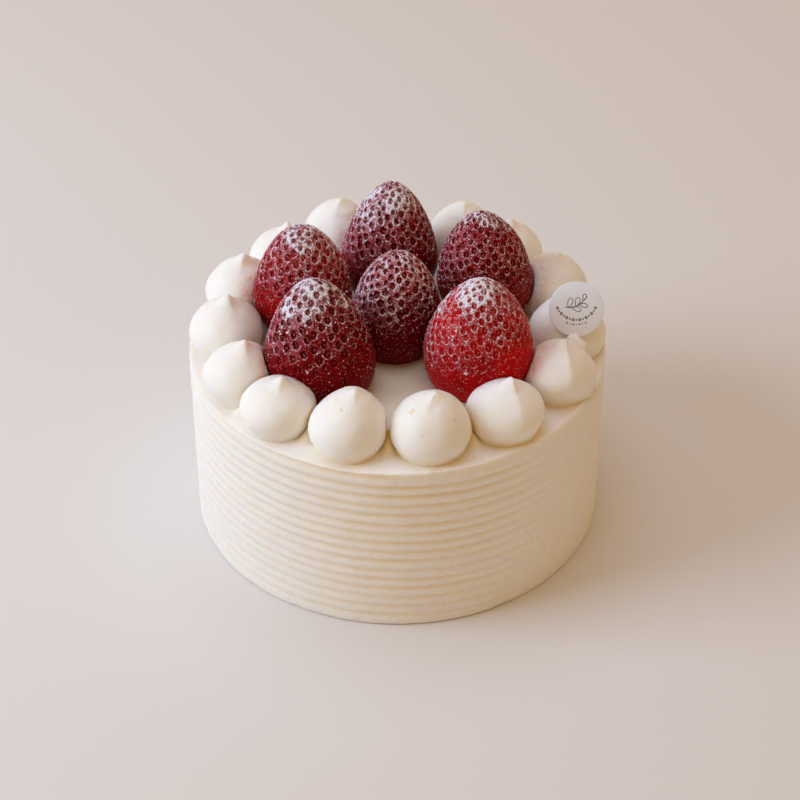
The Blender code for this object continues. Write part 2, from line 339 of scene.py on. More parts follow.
class Nodes:
    """The nodes of one material, with its Principled shader in hand."""

    def __init__(self, name):
        self.material = bpy.data.materials.new(name)
        self.material.use_nodes = True
        self.tree = self.material.node_tree
        self.shader = self.tree.nodes["Principled BSDF"]

    def add(self, kind, settings=None, **inputs):
        """Adds a node; inputs are numbers, colours or other nodes' outputs by socket name."""
        node = self.tree.nodes.new(f"ShaderNode{kind}")
        for key, value in (settings or {}).items():
            setattr(node, key, value)
        for key, value in inputs.items():
            self.put(node, int(key[1:]) if key[1:].isdigit() else key.replace("_", " "), value)
        return node

    def put(self, node, socket, value):
        """Sets one socket, or joins another node's output to it."""
        if isinstance(value, bpy.types.NodeSocket):
            self.tree.links.new(value, node.inputs[socket])
        else:
            node.inputs[socket].default_value = value

    def set(self, **inputs):
        """Sets or joins the sockets of the Principled shader."""
        for key, value in inputs.items():
            self.put(self.shader, key.replace("_", " "), value)

    def place(self):
        """Position in the object's own space, in metres."""
        return self.add("TexCoord").outputs["Object"]

    def stored(self, name):
        """A number stored on the mesh."""
        return self.add("Attribute", {"attribute_name": name}).outputs["Fac"]

    def noise(self, where, scale, detail=2.0, rough=0.5):
        """Noise from 0 to 1."""
        return self.add("TexNoise", Vector=where, Scale=scale, Detail=detail, Roughness=rough).outputs["Fac"]

    def cells(self, where, scale):
        """Distance from the nearest of many scattered points, from 0 up."""
        return self.add("TexVoronoi", Vector=where, Scale=scale).outputs["Distance"]

    def math(self, operation, a, b=0.0):
        """One operation on two numbers."""
        node = self.add("Math", {"operation": operation})
        self.put(node, 0, a)
        self.put(node, 1, b)
        return node.outputs[0]

    def times(self, a, b):
        """Product of two numbers."""
        return self.math("MULTIPLY", a, b)

    def plus(self, a, b):
        """Sum of two numbers."""
        return self.math("ADD", a, b)

    def ramp(self, value, low, high, start=0.0, end=1.0):
        """Maps a number from low-high to start-end with soft ends."""
        node = self.add("MapRange", {"interpolation_type": "SMOOTHSTEP"}, Value=value)
        for socket, number in (("From Min", low), ("From Max", high), ("To Min", start), ("To Max", end)):
            self.put(node, socket, number)
        return node.outputs["Result"]

    def mix(self, share, first, second):
        """Blends two colours."""
        node = self.add("Mix", {"data_type": "RGBA"})
        self.put(node, 0, share)
        self.put(node, 6, first)
        self.put(node, 7, second)
        return node.outputs[2]

    def bump(self, height, distance, strength=1.0, under=None):
        """Turns a height from 0 to 1 into relief of a real depth."""
        node = self.add("Bump", Height=height, Distance=distance, Strength=strength)
        if under:
            self.put(node, "Normal", under)
        return node.outputs["Normal"]


def colour(values):
    """A colour property as four numbers."""
    return (*values, 1.0)


def whipped_cream(name, look, streak):
    """Matt whipped cream that lets light in, with a painted yellow glow and shade in its creases and a
    painted pink reflection of the strawberries beside them.
    """
    nodes = Nodes(name)
    place = nodes.place()
    stretch = nodes.add("Mapping", Vector=place, Scale=(1.0, 1.0, streak)).outputs["Vector"]
    patches = nodes.ramp(nodes.noise(place, 140.0, 3.0), 0.35, 0.65)
    plain = nodes.mix(nodes.times(patches, 0.35), colour(look.cream), colour(look.shade))
    # Painted yellow glow and shade in the creases, standing in for light that shines through the cream there
    creased = nodes.mix(nodes.stored("crease_glow"), plain, colour(look.crease_glow))
    flecks = nodes.ramp(nodes.noise(stretch, 850.0, 3.0, 0.6), 0.54, 0.68, 0.0, 0.10 * look.crumb)
    creased = nodes.mix(flecks, creased, colour(look.fleck))
    # Painted pink reflection of the red strawberries on the cream beside them
    berry_bounce = nodes.stored("berry_bounce")
    pink = nodes.times(berry_bounce, nodes.ramp(nodes.noise(place, 260.0, 3.0), 0.35, 0.65, 0.10, 0.70))
    nodes.set(Base_Color=nodes.mix(pink, creased, colour(look.berry_bounce)))
    matt = look.roughness
    nodes.set(Roughness=nodes.ramp(nodes.noise(place, 500.0), 0.3, 0.7, matt - 0.06, matt + 0.08))
    nodes.set(Subsurface_Weight=look.translucency, Subsurface_Radius=(1.0, 0.80, 0.48))
    nodes.set(Subsurface_Scale=nodes.times(nodes.stored("open"), look.light_reach))
    nodes.set(Specular_IOR_Level=0.25)
    # The same share beside the strawberries also makes the cream lumpier there
    roughened = nodes.plus(nodes.times(berry_bounce, 0.9), look.crumb)
    lumps = nodes.bump(nodes.noise(place, 560.0, 3.0, 0.6), 0.00090, berry_bounce)
    crumbs = nodes.bump(nodes.noise(stretch, 1500.0, 4.0, 0.6), 0.00022, roughened, lumps)
    hollow = nodes.ramp(nodes.cells(place, 420.0), 0.05, 0.18)
    nodes.set(Normal=nodes.bump(hollow, 0.00010, look.crumb, crumbs))
    return nodes.material


def groove_levels():
    """Heights of the comb's grooves, top first, as the solid has them."""
    rng = random.Random(15)
    pitch = (CAKE_HEIGHT - RIDGE_TOP - FOOT_ROUND) / RIDGE_COUNT
    levels = []
    for ridge in range(RIDGE_COUNT):
        wander = rng.uniform(-RIDGE_UNEVEN, RIDGE_UNEVEN)
        levels.append(CAKE_HEIGHT - RIDGE_TOP - (ridge + 0.12) * pitch + wander)
    return np.array(levels), pitch


def comb_relief(turn, level, sizes):
    """Depth of the comb's grooves at an angle and height on the side."""
    levels, pitch = groove_levels()
    circle = unit_circle(turn) * CAKE_RADIUS
    seam = smooth_step(math.radians(-92.0), math.radians(-85.0), turn)
    seam = seam * (1.0 - smooth_step(math.radians(-20.0), math.radians(30.0), turn))
    depth = np.zeros(np.broadcast(turn, level).shape)
    for ridge, middle in enumerate(levels):
        fade = ridge / (RIDGE_COUNT - 1)
        shifted = circle + (0.0, 0.0, 0.05 * ridge)
        drift = 0.00016 * cloud(shifted, 0.016, 21) + 0.00008 * cloud(shifted, 0.005, 22)
        press = 0.82 + 0.22 * cloud(shifted, 0.012, 23) + 0.10 * cloud(shifted, 0.004, 24)
        if ridge == 0:
            press = press * (1.0 - 0.75 * seam)
        press = press * (1.0 - 0.60 * fade * hump(turn + math.radians(160.0), math.radians(34.0)))
        press = press * (1.0 - 0.80 * hump(turn + math.radians(40.0), math.radians(28.0)))
        deepest = sizes.ridge_depth + (sizes.ridge_depth_at_foot - sizes.ridge_depth) * fade
        off = (level - middle - drift) / pitch
        depth += deepest * press * np.exp(-(np.abs(off) / GROOVE_WIDTH) ** GROOVE_POWER)
    return depth


def between_dollops(points):
    """Share from 0 to 1 that says how far points lie between two neighbouring dollops."""
    most = np.zeros(points.shape[:-1])
    before = np.zeros(points.shape[:-1])
    for index in range(-1, len(DOLLOPS)):
        radius = DOLLOPS[index].radius
        away = np.linalg.norm(points[..., 0:2] - dollop_centre(index), axis=-1)
        beside = smooth_step(radius + 0.0046, radius - 0.0006, away)
        most = np.maximum(most, beside * before)
        before = beside
    return most


def coat_rings(sizes):
    """Rows of points over the cake's coat: top from the middle out, rim, combed side, foot."""
    turn = full_turn(sizes.columns)
    circle = unit_circle(turn)
    flat_edge = CAKE_RADIUS - RIM_ROUND
    reach = flat_edge * np.linspace(0.06, 1.0, sizes.top_rows) ** 0.7
    rim = np.linspace(0.0, math.pi / 2.0, 6)[1:]
    side = np.linspace(CAKE_HEIGHT - RIM_ROUND, FOOT_ROUND, sizes.side_rows)[1:]
    foot = np.linspace(0.0, math.pi / 2.0, 4)[1:]
    radius = np.concatenate([reach, flat_edge + RIM_ROUND * np.sin(rim), np.full(len(side), CAKE_RADIUS),
                             CAKE_RADIUS - FOOT_ROUND * (1.0 - np.cos(foot)), [0.5 * CAKE_RADIUS]])
    level = np.concatenate([np.full(len(reach), CAKE_HEIGHT),
                            CAKE_HEIGHT - RIM_ROUND * (1.0 - np.cos(rim)), side,
                            FOOT_ROUND * (1.0 - np.sin(foot)), [0.0]])
    rings = circle * radius[:, None, None]
    rings[..., 2] = level[:, None]
    on_side = (smooth_step(CAKE_RADIUS - 0.3 * RIM_ROUND, CAKE_RADIUS, radius)
               * smooth_step(0.0, FOOT_ROUND, level))[:, None]
    on_top = (smooth_step(CAKE_HEIGHT - 0.2 * RIM_ROUND, CAKE_HEIGHT, level))[:, None]
    near_rim = hump(np.hypot(radius - flat_edge, level - CAKE_HEIGHT), 0.0016)[:, None]
    grooves = comb_relief(turn, level[:, None], sizes)
    lumps = 0.00012 * cloud(rings, 0.007, 1) + 0.00005 * cloud(rings, 0.0022, 2)
    torn = rings * (1.0, 1.0, 0.45)
    crumbs = 0.00005 * cloud(torn, 0.0011, 3) - 0.00016 * smooth_step(0.30, 0.65, cloud(torn, 0.0014, 8))
    ragged = 0.00022 * cloud(rings, 0.0035, 4) + 0.00018 * cloud(rings, 0.0016, 5)
    outward = on_side * (lumps + crumbs - grooves) + near_rim * ragged
    upward = on_top * 0.8 * lumps + near_rim * (0.00022 + 1.2 * ragged)
    swept = 0.00022 * cloud(rings * (1.0, 1.0, 0.0), 0.018, 6)
    rings += circle * outward[..., None] * (radius > 0.9 * flat_edge)[:, None, None]
    rings[..., 2] += upward + on_top * (swept + WEB_HEIGHT * between_dollops(rings) ** WEB_POWER)
    worn = WORN_FOOT * smooth_step(0.2, 1.0, cloud(circle * CAKE_RADIUS, 0.006, 7))
    rings += circle * (-worn * smooth_step(0.0022, 0.0, level)[:, None])[..., None]
    return rings, grooves * on_side, on_top


def crease_glow_strength(points):
    """Strength of the painted crease glow and shade, which fades on the left, where the key light falls."""
    return 1.0 - 0.72 * smooth_step(-0.012, -0.052, points[..., 0])


def coat_creases(rings, grooves, on_top):
    """Marks for the coat's material: painted glow and shade in its creases, how open it is to light, and the
    painted pink reflection of the strawberries.
    """
    turn = np.arctan2(rings[..., 1], rings[..., 0])
    # Painted warm shade in the comb's grooves, strongest on the front
    warm = 0.07 + 0.20 * hump(turn + math.radians(88.0), math.radians(30.0))
    crease_glow = warm * np.clip(grooves / 0.0007, 0.0, 1.0) ** 1.5
    # Painted shade on the top among the strawberries
    middle = smooth_step(0.047, 0.040, np.hypot(rings[..., 0], rings[..., 1]))
    crease_glow = np.maximum(crease_glow, on_top * 0.22 * middle)
    # Painted glow and shade where the cream is drawn up between two dollops
    between = on_top * between_dollops(rings)
    crease_glow = np.maximum(crease_glow, between)
    closed = between
    for index, dollop in enumerate(DOLLOPS):
        away = np.linalg.norm(rings[..., 0:2] - dollop_centre(index), axis=-1)
        past = away - dollop.radius
        # Painted glow and shade round the foot of each dollop
        crease_glow = np.maximum(crease_glow, on_top * 0.26 * smooth_step(0.0014, -0.0022, past))
        closed = np.maximum(closed, on_top * smooth_step(0.0030, -0.0006, past))
    return {"crease_glow": crease_glow * crease_glow_strength(rings), "open": 1.0 - COAT_CLOSED * closed,
            "berry_bounce": 0.6 * on_top * beside_berries(rings)}


def dollop_line(radius, height, tip, rows):
    """Evenly spaced outline of one piped dollop, from its pointed tip down to its foot."""
    levels = height + tip - (height + tip) * np.linspace(0.0, 1.0, 3000) ** 1.8
    dome = swelling(levels, radius, height, *DOLLOP_DOME)
    neck = TIP_NECK + TIP_NECK_GROWTH * tip
    below = (height + tip - levels) / (1.05 * tip)
    point = neck * np.minimum(below, 2.0) ** 0.95
    joined = 0.5 * (dome + point + np.sqrt((dome - point) ** 2 + TIP_SOFT ** 2))
    start = smooth_step(0.0, 0.10, below) ** 0.5
    steep = np.clip(1.0 - levels / FILLET, 0.0, 1.0)
    skirt = FILLET * (1.0 - np.sqrt(1.0 - 0.98 * steep ** 2))
    return even_line(np.stack([joined * start + skirt, levels], axis=1), rows)


def berry_radius(berry, height):
    """Half width of a strawberry at a height above its cut face."""
    return swelling(height, berry.radius, berry.height, berry.waist, BERRY_UNDERCUT * berry.radius,
                    berry.taper, BERRY_ROUNDNESS)


def berry_axis(berry, height):
    """Place of a strawberry's leaning middle line at a height above its cut face."""
    share = np.clip(height / berry.height, 0.0, 1.0) ** BERRY_LEAN_POWER
    return berry.x + berry.lean_x * share, berry.y + berry.lean_y * share


def beside_berries(points):
    """Share from 0 to 1 that says how close points are to the nearest strawberry."""
    height = points[..., 2] - TOP_LEVEL
    nearest = np.full(points.shape[:-1], 1.0)
    for berry in BERRIES.values():
        middle_x, middle_y = berry_axis(berry, height)
        length = np.hypot(points[..., 0] - middle_x, (points[..., 1] - middle_y) / berry.oval)
        radius = np.nan_to_num(berry_radius(berry, np.minimum(height, berry.height)))
        nearest = np.minimum(nearest, length - radius)
    return smooth_step(0.0090, 0.0004, nearest)


def clear_of_berries(points):
    """Moves points of a dollop sideways until they are clear of every strawberry."""
    height = points[..., 2] - TOP_LEVEL
    for berry in BERRIES.values():
        oval = berry.oval
        middle_x, middle_y = berry_axis(berry, height)
        away_x = points[..., 0] - middle_x
        away_y = (points[..., 1] - middle_y) / oval
        length = np.maximum(np.hypot(away_x, away_y), 1e-9)
        needed = np.where(height < berry.height, berry_radius(berry, height) + 1.5 * GAP, 0.0)
        push = np.maximum(needed / length, 1.0)
        points[..., 0] = middle_x + away_x * push
        points[..., 1] = middle_y + away_y * push * oval


def dollop_centre(index):
    """Place of a dollop's middle on the cake's top."""
    turn = math.radians(DOLLOPS[index].turn)
    return np.array([math.cos(turn), math.sin(turn)]) * DOLLOPS[index].away


def squeeze_neighbours(points, index):
    """Presses a dollop softly against the two dollops that it touches."""
    centre = dollop_centre(index)
    pressed = np.zeros(points.shape[:-1])
    for other in ((index - 1) % len(DOLLOPS), (index + 1) % len(DOLLOPS)):
        way = dollop_centre(other) - centre
        reach = np.linalg.norm(way)
        way = way / reach
        limit = reach * DOLLOPS[index].radius / (DOLLOPS[index].radius + DOLLOPS[other].radius) - 0.2 * GAP
        over = (points[..., 0:2] - centre) @ way - limit
        squeeze = SQUEEZE_SOFT * np.logaddexp(0.0, over / SQUEEZE_SOFT)
        points[..., 0:2] -= squeeze[..., None] * way
        pressed = np.maximum(pressed, smooth_step(0.0016, 0.0, limit - (over + limit)))
    return pressed


def dollop_rings(index, sizes):
    """Rows of points over one dollop: dome, folded tip, burst bubbles and pressed flanks."""
    radius, height, tip, lean_x, lean_y = DOLLOPS[index][2:]
    rng = random.Random(100 + index)
    finer = 2 if index in FINE_DOLLOPS else 1
    line = dollop_line(radius, height, tip, finer * sizes.rows)
    turn = full_turn(finer * sizes.columns)
    circle = unit_circle(turn)
    level = line[:, 1][:, None]
    fold = math.atan2(lean_y, lean_x) - math.radians(118.0 + rng.uniform(-14.0, 14.0))
    past = past_angle(turn, fold)
    near_tip = smooth_step(height - 0.0026, height + 0.6 * tip, level)
    dent = smooth_step(-0.05, 0.30, past) * smooth_step(2.0, 0.5, past)
    crest = 0.35 * hump(past, 0.40) - 0.60 * dent + 0.16 * np.cos(2.0 * past)
    reach = line[:, 0][:, None] * (1.0 + sizes.fold * near_tip * crest)
    rings = circle * reach[..., None]
    rings[..., 2] = level
    seed = 40 + index
    rings *= 1.0 + 0.016 * cloud(rings, 0.010, seed)[..., None]
    normals = row_normals(rings)
    if index in RIDGED:
        at, tall = RIDGED[index]
        beside = past_angle(turn, math.radians(at))
        crest = np.exp(-np.abs(beside) / 0.42) * smooth_step(0.0030, 0.0150, level)
        rings += normals * (tall * crest)[..., None]
    if index in SLUMPED:
        at, wide = SLUMPED[index]
        beside = past_angle(turn, math.radians(at))
        low = np.clip(1.0 - level / SLUMP_HEIGHT, 0.0, 1.0) ** SLUMP_POWER
        rings += circle * (wide * hump(beside, SLUMP_SPREAD) * low)[..., None]
    rings += normals * (sizes.unevenness * (cloud(rings, 0.0048, seed + 20)
                                            + 0.4 * cloud(rings, 0.0021, seed + 40)))[..., None]
    bubbled = np.zeros(rings.shape[:2])
    for number, angle, up, width in BUBBLES:
        if number == index:
            out = float(swelling(np.array(up), radius, height, *DOLLOP_DOME))
            spot = np.array([math.cos(math.radians(angle)) * out, math.sin(math.radians(angle)) * out, up])
            away = np.linalg.norm(rings - spot, axis=-1)
            hole = smooth_step(BUBBLE_REACH * width, BUBBLE_FLOOR * width, away)
            edge = hump(away - BUBBLE_REACH * width, 0.18 * width)
            rings -= normals * (BUBBLE_DEPTH * width * (hole - BUBBLE_LIP * edge))[..., None]
            bubbled = np.maximum(bubbled, hole)
    share = np.clip(rings[..., 2] / (height + tip), 0.0, 1.2) ** TIP_LEAN_POWER
    centre = dollop_centre(index)
    rings[..., 0] += centre[0] + lean_x * share
    rings[..., 1] += centre[1] + lean_y * share
    rings[..., 2] = TOP_LEVEL + rings[..., 2] - DOLLOP_SINK * (1.0 - np.clip(level / 0.006, 0.0, 1.0))
    for _ in range(3):
        clear_of_berries(rings)
        pressed = squeeze_neighbours(rings, index)
    low = smooth_step(0.0048, 0.0008, level)
    # Painted glow and shade at the foot, where two dollops press together, and in the burst bubbles
    crease_glow = np.maximum(0.22 * low, pressed * smooth_step(0.012, 0.004, level)) * crease_glow_strength(rings)
    marks = {"crease_glow": np.maximum(crease_glow, 0.16 * bubbled),
             "open": 1.0 - DOLLOP_CLOSED * np.maximum(low, pressed), "berry_bounce": beside_berries(rings)}
    return rings, marks


@lru_cache(maxsize=None)
def berry_surface(name, rows, columns, pit_width, pit_depth):
    """Skin of one strawberry: its points, the marks that its material reads, and its seeds."""
    berry = BERRIES[name]
    height, oval = berry.height, berry.oval
    levels = height * (1.0 - np.linspace(0.0, 1.0, 6000) ** 2.2)
    line = even_line(np.stack([berry_radius(berry, levels), levels], axis=1), rows)
    along = np.linspace(0.0, 1.0, rows)
    start = random.Random(name).uniform(0.0, math.tau)
    rng = np.random.default_rng(sum(map(ord, name)))

    def skin(radius, level, turn):
        lobe = 1.0 - BERRY_LOBES * (0.5 + 0.5 * np.sin(3.0 * turn + start))
        middle_x, middle_y = berry_axis(berry, level)
        parts = (middle_x + radius * lobe * np.cos(turn), middle_y + radius * lobe * oval * np.sin(turn),
                 level + TOP_LEVEL - SINK * (1.0 - level / height))
        return np.stack(np.broadcast_arrays(*parts), axis=-1)

    turn = full_turn(columns)
    rings = skin(line[:, 0][:, None], line[:, 1][:, None], turn)
    seed = 200 + len(name)
    rings += row_normals(rings) * (0.00022 * cloud(rings, 0.011, seed))[..., None]

    # Seeds spiral down from the tip, close together there and wider apart lower down
    spacing = berry.coarse * pit_width * np.interp(along, (0.0, 0.15, 0.45, 1.0), (1.16, 1.32, 1.60, 1.80))
    length = np.sum(np.hypot(*np.diff(line, axis=0).T))
    crowd = np.cumsum(math.tau * line[:, 0] * (length / rows) / (0.866 * spacing ** 2))
    count = int(crowd[-1])
    order = np.arange(count) + 0.5
    seed_along = np.interp(order, crowd, along) + rng.uniform(-0.008, 0.008, count)
    seed_along = np.clip(seed_along, 0.004, 0.995)
    seed_turn = order * GOLDEN_TURN + rng.uniform(-0.055, 0.055, count)
    seed_radius = np.interp(seed_along, along, line[:, 0])
    seed_level = np.interp(seed_along, along, line[:, 1])
    seeds = skin(seed_radius, seed_level, seed_turn)
    below = skin(np.interp(seed_along + 0.01, along, line[:, 0]),
                 np.interp(seed_along + 0.01, along, line[:, 1]), seed_turn)
    beside = skin(seed_radius, seed_level, seed_turn + 0.02)
    downs = below - seeds
    downs /= np.linalg.norm(downs, axis=1, keepdims=True)
    sides = beside - seeds
    sides -= downs * np.sum(sides * downs, axis=1, keepdims=True)
    sides /= np.linalg.norm(sides, axis=1, keepdims=True)
    pit = 0.33 * np.interp(seed_along, along, spacing) * rng.uniform(0.78, 1.12, count)

    flat = rings.reshape(-1, 3)
    squared = (flat ** 2).sum(1)[:, None] + (seeds ** 2).sum(1)[None, :] - 2.0 * flat @ seeds.T
    nearest = squared.argmin(1)
    first = np.sqrt(np.maximum(squared.min(1), 0.0))
    squared[np.arange(len(flat)), nearest] = 1.0
    border = (np.sqrt(squared.min(1)) - first).reshape(rings.shape[:2])
    gap = flat - seeds[nearest]
    across = (gap * sides[nearest]).sum(1) / 0.92
    down = (gap * downs[nearest]).sum(1) / 1.14
    away = (np.hypot(across, down) / pit[nearest]).reshape(rings.shape[:2])
    away *= 1.0 + 0.13 * cloud(rings, 0.0011, seed + 6) + 0.10 * cloud(rings, 0.0030, seed + 7)

    normals = row_normals(rings)
    level = line[:, 1][:, None]
    pit_depth = pit_depth * (0.62 + 0.38 * DUSTING[name].ripe)
    hollow = smooth_step(PIT_EDGE, PIT_FLOOR, away)
    lip = hump(away - PIT_LIP, 0.18)
    swell = smooth_step(0.0, 0.0011, border)
    deep = np.interp(level / height, *PIT_EASE)
    foot_ease = smooth_step(0.0, 0.0015, level) * deep
    relief = pit_depth * foot_ease * (-hollow + 0.16 * lip - 0.06 * (1.0 - swell))
    relief += 0.00004 * cloud(rings, 0.0012, seed + 1)
    rings += normals * relief[..., None]
    normals = row_normals(rings)

    cap_low, net_low, net, rightward = DUSTING[name][:4]
    share = np.broadcast_to(level / height, away.shape)
    patchy = cloud(rings, 0.0046, seed + 2)
    fine = cloud(rings, 0.0016, seed + 3)
    facing = smooth_step(-0.25, 0.65, normals[..., 2])
    toward = rightward * normals[..., 0] - 0.04 * normals[..., 1]
    cap = smooth_step(cap_low - 0.13, cap_low + 0.11, share + toward + 0.11 * patchy + 0.08 * fine)
    band = smooth_step(net_low - 0.04, net_low + 0.30, share + toward + 0.12 * patchy)
    cap = cap * np.clip(0.96 + 0.40 * cloud(rings, 0.0034, seed + 5), 0.0, 1.0)
    powder = np.maximum(cap, net * band * (0.45 + 0.55 * facing) * (0.80 + 0.25 * fine))
    powder = np.clip(powder, 0.0, 1.0)
    netted = powder * smooth_step(0.80, 1.15, away)
    lower = np.clip(down.reshape(away.shape) / pit[nearest].reshape(away.shape), -2.0, 2.0)
    heaped = CAP_HEAP * cap * (0.5 + 0.5 * cloud(rings, 0.0011, seed + 4)) + NET_HEAP * netted
    rings += normals * heaped[..., None]
    floor = pit_depth * 0.80 * smooth_step(0.0, 0.0015, seed_level)
    floor *= np.interp(seed_level / height, *PIT_EASE)
    out = np.cross(downs, sides)
    marks = {"powder": powder, "pit": np.minimum(away + 0.5 * (1.0 - deep), 3.0), "lip": lower}
    return rings, marks, seeds - out * floor[:, None], sides, downs, out, pit


def strawberry_skin(name, look, dusting):
    """Glossy red skin, darker when ripe, with painted shade in its pits and a painted sheen on the side that
    faces the key light, under a veil and specks of sugar.
    """
    nodes = Nodes(f"strawberry_skin_{name}")
    bloom, ripe, tip_ripe = dusting[4:]
    place = nodes.place()
    height = nodes.add("SeparateXYZ", Vector=place).outputs["Z"]
    ripeness = nodes.ramp(height, TOP_LEVEL + 0.022, TOP_LEVEL + 0.036, ripe, tip_ripe)
    red = nodes.mix(ripeness, colour(look.bright_red), colour(look.dark_red))
    patches = nodes.ramp(nodes.noise(place, 75.0, 2.0), 0.36, 0.64)
    skin = nodes.mix(nodes.times(patches, 0.45), red, colour(look.deep_red))
    away = nodes.stored("pit")
    powder = nodes.stored("powder")
    # Painted shade in the pits, stronger on riper strawberries
    hollow = nodes.ramp(away, 1.10, 0.80)
    skin = nodes.mix(nodes.times(hollow, 0.06 + 0.70 * ripe), skin, colour(look.pit_shade_red))

    # Painted lilac-red sheen, a painted highlight on the side that faces the key light: left, forward and up
    normal = nodes.add("TexCoord").outputs["Normal"]
    side = nodes.add("VectorMath", {"operation": "DOT_PRODUCT"})
    nodes.put(side, 0, normal)
    nodes.put(side, 1, (-0.80, -0.25, 0.30))
    left = nodes.ramp(side.outputs["Value"], 0.25, 0.85)
    smoky = nodes.ramp(nodes.noise(place, 130.0, 3.0), 0.38, 0.62)
    film = nodes.times(nodes.times(left, smoky), 0.90 * bloom)
    ridge = nodes.ramp(away, 0.92, 1.16)
    film = nodes.times(film, nodes.plus(nodes.times(ridge, 0.8), 0.2))

    # Sugar lies on the ridges, thickest on the lower lip of each pit
    arc = nodes.math("ABSOLUTE", nodes.math("SUBTRACT", away, 1.12))
    arc = nodes.times(nodes.ramp(arc, 0.22, 0.04), nodes.ramp(nodes.stored("lip"), -0.7, 0.7, 0.10))
    torn = nodes.ramp(nodes.noise(place, 300.0, 3.0, 0.6), 0.38, 0.62, 0.10, 1.0)
    broken = nodes.ramp(nodes.noise(place, 520.0, 2.0, 0.6), 0.36, 0.56, 0.25, 1.0)
    heap = nodes.plus(nodes.times(nodes.times(ridge, torn), 0.54),
                      nodes.times(nodes.times(arc, broken), 0.60))
    packed = nodes.times(nodes.math("POWER", powder, 2.6),
                        nodes.plus(nodes.times(ridge, 0.70), 0.72))
    packed = nodes.times(packed, nodes.ramp(nodes.noise(place, 850.0, 2.0), 0.36, 0.60, 0.40, 1.4))
    heap = nodes.plus(nodes.plus(heap, 0.02), packed)
    line = nodes.times(nodes.times(arc, broken), nodes.ramp(powder, 0.02, 0.26, 0.0, 0.56))
    cover = nodes.plus(nodes.times(heap, powder), line)
    thick = nodes.math("MAXIMUM", nodes.math("SUBTRACT", cover, 0.08), 0.0)
    # The painted sheen shows only where a little sugar lies
    film = nodes.times(film, nodes.ramp(powder, 0.04, 0.20))
    skin = nodes.mix(film, skin, colour(look.flush))
    veil = nodes.times(thick, 0.66)
    skin = nodes.mix(nodes.math("MINIMUM", veil, 0.85), skin, colour(look.bloom))
    grain = nodes.noise(place, 1500.0, 3.0, 0.70)
    specks = nodes.math("SUBTRACT", nodes.times(cover, 0.47), nodes.ramp(grain, 0.30, 0.70, 0.02, 0.98))
    white = nodes.times(nodes.ramp(specks, -0.10, 0.10), nodes.ramp(cover, 0.02, 0.16))
    dots = nodes.times(nodes.ramp(nodes.cells(place, 950.0), 0.26, 0.14),
                       nodes.ramp(nodes.noise(place, 330.0), 0.38, 0.54))
    skin = nodes.mix(nodes.times(dots, 0.70), skin, colour(look.speck))
    nodes.set(Base_Color=nodes.mix(white, skin, colour(look.sugar)))
    nodes.set(Roughness=nodes.math("MAXIMUM", nodes.times(white, 0.85),
                                   nodes.ramp(veil, 0.0, 0.4, look.roughness, 0.7)))
    nodes.set(Subsurface_Weight=0.10, Subsurface_Radius=(1.0, 0.12, 0.10), Subsurface_Scale=0.0022)
    nodes.set(Specular_IOR_Level=look.gloss)
    skin_bump = nodes.bump(nodes.noise(place, 900.0, 2.0), 0.00006, 0.6)
    nodes.set(Normal=nodes.bump(nodes.times(white, grain), 0.00020, 0.8, skin_bump))
    return nodes.material


def seed_material(look):
    """Small hard seeds, straw yellow with a red tinge."""
    nodes = Nodes("strawberry_seed")
    tint = nodes.ramp(nodes.noise(nodes.place(), 260.0, 2.0), 0.30, 0.55)
    nodes.set(Base_Color=nodes.mix(tint, colour(look.seed_pale), colour(look.seed_red)))
    nodes.set(Roughness=0.38)
    nodes.set(Normal=nodes.bump(nodes.noise(nodes.place(), 2600.0, 2.0), 0.00004, 0.6))
    return nodes.material


def sugar_material(look):
    """Loose icing sugar: white, matt and slightly translucent."""
    nodes = Nodes("icing_sugar")
    tint = nodes.noise(nodes.place(), 700.0, 2.0)
    nodes.set(Base_Color=nodes.mix(tint, colour(look.sugar), BRIGHT_SUGAR))
    nodes.set(Roughness=0.8, Subsurface_Weight=0.2, Subsurface_Radius=(1.0, 0.9, 0.85))
    nodes.set(Subsurface_Scale=0.0005)
    nodes.set(Normal=nodes.bump(nodes.noise(nodes.place(), 6000.0, 2.0), 0.00003, 0.8))
    return nodes.material


def tag_material(look):
    """Smooth white card with a fine tooth; its lilac cast is painted, standing in for cool light reflected
    off the card.
    """
    nodes = Nodes("tag_card")
    tooth = nodes.noise(nodes.place(), 1800.0, 3.0)
    nodes.set(Base_Color=nodes.mix(nodes.times(tooth, 0.25), colour(look.card), colour(look.card_shade)))
    nodes.set(Roughness=nodes.ramp(tooth, 0.3, 0.7, 0.42, 0.55))
    nodes.set(Normal=nodes.bump(tooth, 0.00002, 0.5))
    return nodes.material


def ink_material(look):
    """Dull grey-black printing ink."""
    nodes = Nodes("tag_ink")
    tooth = nodes.noise(nodes.place(), 2400.0, 3.0)
    nodes.set(Base_Color=nodes.mix(tooth, colour(look.ink), WORN_INK), Roughness=0.6)
    return nodes.material


def seed_shape():
    """Points and faces of one teardrop seed: X across, Y along with its point up, Z out."""
    sides = 5
    rows = [(-0.42, 0.62), (0.0, 1.0), (0.34, 0.66)]
    points = [(0.0, -0.60, 0.0)]
    for along, wide in rows:
        for step in range(sides):
            turn = math.tau * step / sides
            points.append((0.5 * wide * math.cos(turn), along, 0.5 * wide * math.sin(turn)))
    points.append((0.0, 0.52, 0.0))
    faces = []
    for step in range(sides):
        after = (step + 1) % sides
        faces.append((0, 1 + step, 1 + after))
        for row in range(len(rows) - 1):
            a, b = 1 + row * sides + step, 1 + row * sides + after
            faces.append((a, a + sides, b + sides))
            faces.append((a, b + sides, b))
        last = 1 + (len(rows) - 1) * sides
        faces.append((last + step, len(points) - 1, last + after))
    return np.array(points), np.array(faces)


